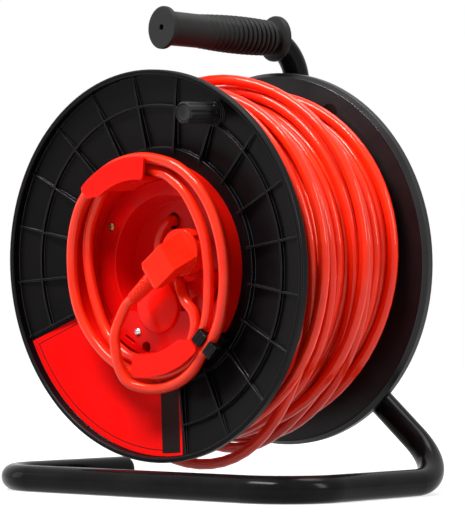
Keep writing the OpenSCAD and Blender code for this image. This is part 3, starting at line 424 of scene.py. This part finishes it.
def grid_mesh(name, grid, caps=True):
    """A mesh of quads over a grid of points that closes on itself along its second parameter.
    Its first and last rows are closed by one face each where caps is true."""
    rows, columns = grid.shape[:2]
    index = np.arange(rows * columns).reshape(rows, columns)
    beside = np.roll(index, -1, axis=1)
    quads = np.stack([index[:-1], beside[:-1], beside[1:], index[1:]], -1).reshape(-1, 4)
    faces = quads.tolist()
    if caps:
        faces += [index[0, ::-1].tolist(), index[-1].tolist()]
    mesh = bpy.data.meshes.new(name)
    mesh.from_pydata(grid.reshape(-1, 3).tolist(), [], faces)
    mesh.shade_smooth()
    piece = bpy.data.objects.new(name, mesh)
    scene.collection.objects.link(piece)
    return piece


all_turns = bed_turns + top_turns
laid_t = np.arange(all_turns * rings_per_turn + 1) / rings_per_turn
laid_depth = winding_depth(laid_t)
slack = slack_depth * np.exp(-((laid_t - slack_turn) / slack_width) ** 2)
# both ends of the cord dive under their neighbours, into the layer below, over part of a turn,
# and keep clear of the front flange, which gets thicker towards the hub
dive_turns, dive_depth, dive_slope = 0.16, 0.0115, 0.4
to_end = np.clip(np.minimum(laid_t, all_turns - laid_t) / dive_turns, 0, 1)
dive = dive_depth * (1 - to_end ** 2 * (3 - 2 * to_end))
laid_path = round_drum(laid_t, laid_radius(laid_depth) + slack - dive,
                       laid_depth + dive_slope * dive)
laid_grid = cord_surface(laid_path, axle, cord_d / 2, cord_sides)
wound_cord = grid_mesh("wound_cord", laid_grid[:, ::-1])
wound_cord.data.materials.append(cord_jacket)
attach(wound_cord, "drum")
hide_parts("cord_winding")

# the layer below: one more cord, wound closer and the other way, that bears those turns
inner_turns, inner_drop = 14, 0.0086
inner_rings_per_turn, inner_sides = 60, 14
inner_t = np.arange(inner_turns * inner_rings_per_turn + 1) / inner_rings_per_turn
inner_share = inner_t / inner_turns
inner_r = bed_r_rear + (bed_r_front - bed_r_rear) * inner_share - inner_drop
inner_depth = depth_rear - (depth_rear - depth_front) * inner_share
inner_path = round_drum(inner_t, inner_r, inner_depth)
inner_grid = cord_surface(inner_path, axle, cord_d / 2, inner_sides)
inner_cord = grid_mesh("inner_cord", inner_grid[:, ::-1])
inner_cord.data.materials.append(cord_jacket)
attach(inner_cord, "drum")
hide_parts("winding_core")

# ---------------------------------------------------------------- plug
# A two-pin earthed plug of the same red plastic as the cord: a round face, a block that carries
# on behind it, and a ribbed strain relief. Its two pins are nickel-plated brass.
plug_plastic = finish_of("plug_plastic", (0.88, 0.014, 0.003), (0.80, 0.022, 0.008), 0.36, 0.5,
                         edge=0.0018, scale=700, depth=0.15, blotch=80, specular=0.4,
                         sheen_tint=(1, 0.30, 0.15))
pin_metal = finish_of("pin_metal", (0.72, 0.72, 0.70), (0.60, 0.60, 0.58), 0.18, 0.32,
                      edge=0.0004, scale=1200, depth=0.05, metallic=1)


def dress(node, material):
    """Gives the frame's node that finish and no other."""
    data = frame["nodes"][node].data
    data.materials.clear()
    data.materials.append(material)


dress("plug_body", plug_plastic)
dress("plug_relief", plug_plastic)
dress("plug_pins", pin_metal)

# ---------------------------------------------------------------- stand
# Steel tube bent in one length and enamelled black. The grip over its end is ribbed rubber.
stand_enamel = finish_of("stand_enamel", (0.003, 0.003, 0.0033), (0.010, 0.010, 0.011), 0.13, 0.3,
                         edge=0.0004, scale=260, depth=0.16, blotch=30, coat=0.05,
                         coat_rough=0.04, specular=0.05)
grip_rubber = finish_of("grip_rubber", (0.010, 0.010, 0.010), (0.026, 0.025, 0.024), 0.42, 0.62,
                        edge=0.0008, scale=1500, depth=0.35, blotch=45, wear=0.35,
                        specular=0.12)
black_plastic = finish_of("black_plastic", (0.010, 0.010, 0.011), (0.02, 0.02, 0.021), 0.35,
                          0.55, wear=0.2, specular=0.15)
dress("frame_tube", stand_enamel)
dress("axle_saddle", stand_enamel)
dress("handle_grip", grip_rubber)
dress("tube_end_cap", black_plastic)

# ---------------------------------------------------------------- axle and its fasteners
# Turned zinc-plated steel with a nut, washers and a circlip.
zinc = finish_of("zinc", (0.60, 0.61, 0.62), (0.42, 0.43, 0.45), 0.28, 0.45, edge=0.0004,
                 scale=1600, depth=0.1, blotch=120, metallic=1)
chrome = finish_of("chrome", (0.62, 0.62, 0.64), (0.40, 0.40, 0.42), 0.14, 0.3, edge=0.0003,
                   scale=2000, depth=0.05, blotch=300, metallic=1)
yellow_zinc = finish_of("yellow_zinc", (0.30, 0.13, 0.05), (0.20, 0.09, 0.04), 0.35, 0.55,
                        edge=0.0003, scale=2000, depth=0.08, blotch=300, metallic=1)
for node in ("axle", "axle_nut", "axle_washers", "axle_circlip", "crank_pin"):
    dress(node, zinc)
for node in ("outlet_screw", "hub_plate_screws", "flange_screws"):
    dress(node, chrome)
dress("insert_screws", yellow_zinc)

# ---------------------------------------------------------------- flanges and bearings
# Injection-moulded black discs with radial ribs; bushes of pale acetal turn on the axle.
# the flanges' sharp edges carry a painted highlight, a grey metallic glint
flange_plastic = finish_of("flange_plastic", (0.0024, 0.0020, 0.0024), (0.006, 0.005, 0.006), 0.28,
                           0.42, edge=0.0007, scale=800, depth=0.16, blotch=22, specular=0.06,
                           edge_glint=0.4)
bearing_acetal = finish_of("bearing_acetal", (0.70, 0.69, 0.64), (0.60, 0.58, 0.52), 0.4, 0.55)
# the winding side of the rear flange is smoother, and takes a soft grey sheen
rear_plastic = flange_plastic.copy()
rear_plastic.name = "rear_plastic"
rear_plastic.node_tree.nodes["Principled BSDF"].inputs["Specular IOR Level"].default_value = 0.26
for node in ("front_flange", "crank_bush", "cord_clip"):
    dress(node, flange_plastic)
for node in ("rear_flange", "rear_hub_plate"):
    dress(node, rear_plastic)
dress("crank_knob", black_plastic)

# a dished cap of the same plastic, pressed into the knob's open end over the head of its pin
knob_joint = next(j for j in frame["joints"] if j["name"] == "knob_spin")
crank_way = np.array(knob_joint["pos_m"]) - drum_centre
knob_end_depth, cap_inset = -0.0258, 0.0003
cap_r, cap_dish, cap_edge = 0.0064, 0.0013, 0.0003
front_share, rear_share = np.linspace(0.002, 1, 14), np.linspace(1, 0.002, 9)
# the profile: a parabola out along the front face, and back behind it a cap_edge deeper
cap_share = np.r_[front_share, rear_share]
cap_depth = np.r_[cap_dish * (1 - front_share ** 2), cap_edge + cap_dish * (1 - rear_share ** 2)]
cap_angle = 2 * np.pi * np.arange(48) / 48
cap_grid = on_drum(np.stack(np.broadcast_arrays(
    crank_way @ across + cap_r * cap_share[:, None] * np.cos(cap_angle),
    knob_end_depth + cap_inset + cap_depth[:, None],
    crank_way @ upward + cap_r * cap_share[:, None] * np.sin(cap_angle)), -1))
knob_cap = grid_mesh("knob_cap", cap_grid[:, ::-1])
knob_cap.data.materials.append(black_plastic)
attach(knob_cap, "knob")
dress("front_bearing", bearing_acetal)
dress("rear_bearing", bearing_acetal)

# ---------------------------------------------------------------- core, hub cup and insert
# Glossy red plastic: the core with its cup and cord hooks, and the insert with the outlet. A
# dark band on the core's wall stands for the shade of the curved gap behind the insert, which
# hides most of it.


def reckon(tree, operation, *values):
    """A Math node of that operation; each value is a number or another node's output."""
    node = tree.nodes.new("ShaderNodeMath")
    node.operation = operation
    for i, v in enumerate(values):
        if hasattr(v, "node"):
            tree.links.new(v, node.inputs[i])
        else:
            node.inputs[i].default_value = v
    return node.outputs[0]


def between(tree, value, low, high):
    """A mask that is 1 where the value lies from low to high."""
    return reckon(tree, "MULTIPLY", reckon(tree, "GREATER_THAN", value, low),
                  reckon(tree, "LESS_THAN", value, high))


def polar_group():
    """A node group that gives a point's Radius from the drum's axle, its Angle round it from
    the right and its Depth behind the front rim, in metres and radians, with the drum at rest."""
    group = bpy.data.node_groups.new("drum_polar", "ShaderNodeTree")
    for name in ("Radius", "Angle", "Depth"):
        group.interface.new_socket(name, in_out="OUTPUT", socket_type="NodeSocketFloat")
    where, centred = group.nodes.new("ShaderNodeTexCoord"), group.nodes.new("ShaderNodeMapping")
    parts, result = group.nodes.new("ShaderNodeSeparateXYZ"), group.nodes.new("NodeGroupOutput")
    centred.vector_type = "TEXTURE"
    centred.inputs["Location"].default_value = drum_centre
    centred.inputs["Rotation"].default_value = (np.arctan2(axle[2], axle[1]), 0, 0)
    group.links.new(where.outputs["Object"], centred.inputs["Vector"])
    group.links.new(centred.outputs["Vector"], parts.inputs["Vector"])
    x, z = parts.outputs["X"], parts.outputs["Z"]
    squares = reckon(group, "ADD", reckon(group, "MULTIPLY", x, x),
                     reckon(group, "MULTIPLY", z, z))
    group.links.new(reckon(group, "SQRT", squares), result.inputs["Radius"])
    group.links.new(reckon(group, "ARCTAN2", z, x), result.inputs["Angle"])
    group.links.new(parts.outputs["Y"], result.inputs["Depth"])
    return group


drum_polar = polar_group()
hub_plastic = finish_of("hub_plastic", (0.84, 0.006, 0.001), (0.72, 0.003, 0.004), 0.26, 0.38,
                        edge=0.0010, scale=500, depth=0.08, blotch=28, coat=0.05,
                        coat_rough=0.06, specular=0.35, sheen_tint=(1, 0.10, 0.05))
for node in ("outlet_body", "outlet_lid"):
    dress(node, hub_plastic)
# the insert's red is made deeper than the hub's, as painted shade for the recess it lines inside
# the cup
insert_plastic_painted_shade = finish_of("insert_plastic_painted_shade", (0.66, 0.0025, 0.002), (0.56, 0.002, 0.004), 0.28,
                           0.4, edge=0.0010, scale=500, depth=0.08, blotch=28, coat=0.05,
                           coat_rough=0.06, specular=0.35, sheen_tint=(1, 0.10, 0.08))
dress("socket_insert", insert_plastic_painted_shade)
core_plastic = hub_plastic.copy()
core_plastic.name = "core_plastic"
core_tree = core_plastic.node_tree
core_shader = core_tree.nodes["Principled BSDF"]
core_place = core_tree.nodes.new("ShaderNodeGroup")
core_place.node_tree = drum_polar
slot_from, slot_to = radians(143), radians(224)
slot_r_in, slot_r_out = 0.0700, 0.0738
slot_front, slot_back = 0.0215, 0.0300
# the angle is counted on from the left side, where the slot lies, so that it has no jump there
past_left = reckon(core_tree, "ARCTAN2",
                   reckon(core_tree, "SINE", reckon(core_tree, "SUBTRACT",
                                                    core_place.outputs["Angle"], np.pi)),
                   reckon(core_tree, "COSINE", reckon(core_tree, "SUBTRACT",
                                                      core_place.outputs["Angle"], np.pi)))
slot_mask = reckon(core_tree, "MULTIPLY",
                   between(core_tree, past_left, slot_from - np.pi, slot_to - np.pi),
                   reckon(core_tree, "MULTIPLY",
                          between(core_tree, core_place.outputs["Radius"], slot_r_in, slot_r_out),
                          between(core_tree, core_place.outputs["Depth"], slot_front, slot_back)))
slot_dark = core_tree.nodes.new("ShaderNodeMix")
slot_dark.data_type = "RGBA"
slot_dark.inputs["B"].default_value = (0.002, 0.0015, 0.0015, 1)
core_tree.links.new(slot_mask, slot_dark.inputs["Factor"])
core_tree.links.new(core_shader.inputs["Base Color"].links[0].from_socket, slot_dark.inputs["A"])
core_tree.links.new(slot_dark.outputs["Result"], core_shader.inputs["Base Color"])
dress("drum_core", core_plastic)
brass = finish_of("brass", (0.72, 0.52, 0.22), (0.52, 0.38, 0.18), 0.22, 0.4, edge=0.0003,
                  scale=1500, depth=0.08, blotch=150, metallic=1)
dress("earth_clips", brass)
dress("lid_hinge_pin", zinc)
dress("lid_spring", zinc)

# ---------------------------------------------------------------- label
# A printed film on the flange's plain sector: red, with a thin black frame line and a black
# band along its right side. It carries no words.
label_film = bpy.data.materials.new("label_film")
label_film.use_nodes = True
label_tree = label_film.node_tree
label_shader = label_tree.nodes["Principled BSDF"]
label_shader.inputs["Specular IOR Level"].default_value = 0.12
label_shader.inputs["Specular Tint"].default_value = (1, 0.12, 0.08, 1)
label_shader.inputs["Coat Weight"].default_value = 0.02
label_shader.inputs["Coat Roughness"].default_value = 0.12
label_place = label_tree.nodes.new("ShaderNodeGroup")
label_place.node_tree = drum_polar
label_in, label_out = 0.086, 0.1454
label_start, label_end = radians(-158.3 + 1.5), radians(-80.3 - 1.5)
radius, turn = label_place.outputs["Radius"], label_place.outputs["Angle"]


def label_math(operation, *values):
    """A Math node of the label's own tree."""
    return reckon(label_tree, operation, *values)


# distance from each straight side of the sector, across it
from_left = label_math("MULTIPLY", radius,
                       label_math("SINE", label_math("SUBTRACT", turn, label_start)))
from_right = label_math("MULTIPLY", radius,
                        label_math("SINE", label_math("SUBTRACT", label_end, turn)))
frame_inset, frame_line = 0.0042, 0.0007
band_inset, band_edge = 0.0022, 0.0205
side_gap = label_math("MINIMUM", from_left, from_right)
end_gap = label_math("MINIMUM", label_math("SUBTRACT", radius, label_in),
                     label_math("SUBTRACT", label_out, radius))
frame_mask = between(label_tree, label_math("MINIMUM", side_gap, end_gap), frame_inset,
                     frame_inset + frame_line)
band_mask = label_math("MULTIPLY", between(label_tree, from_right, band_inset, band_edge),
                       between(label_tree, end_gap, band_inset, 1.0))
ink = label_math("MAXIMUM", frame_mask, band_mask)
dirt = label_tree.nodes.new("ShaderNodeGroup")
dirt.node_tree = grain_group
for socket, value in (("Edge Radius", 0.0002), ("Grain Scale", 300), ("Grain Depth", 0.06),
                      ("Mottle Scale", 40)):
    dirt.inputs[socket].default_value = value
film = label_tree.nodes.new("ShaderNodeMix")
film.data_type = "RGBA"
film.inputs["A"].default_value = (0.86, 0.003, 0.002, 1)
film.inputs["B"].default_value = (0.74, 0.004, 0.005, 1)
printed = label_tree.nodes.new("ShaderNodeMix")
printed.data_type = "RGBA"
printed.inputs["B"].default_value = (0.006, 0.006, 0.006, 1)
film_rough = label_tree.nodes.new("ShaderNodeMapRange")
film_rough.inputs["To Min"].default_value = 0.24
film_rough.inputs["To Max"].default_value = 0.42
for start, end in ((dirt.outputs["Mottle"], film.inputs["Factor"]), (ink, printed.inputs["Factor"]),
                   (film.outputs["Result"], printed.inputs["A"]),
                   (printed.outputs["Result"], label_shader.inputs["Base Color"]),
                   (dirt.outputs["Mottle"], film_rough.inputs["Value"]),
                   (film_rough.outputs["Result"], label_shader.inputs["Roughness"]),
                   (dirt.outputs["Normal"], label_shader.inputs["Normal"])):
    label_tree.links.new(start, end)
dress("label_plate", label_film)
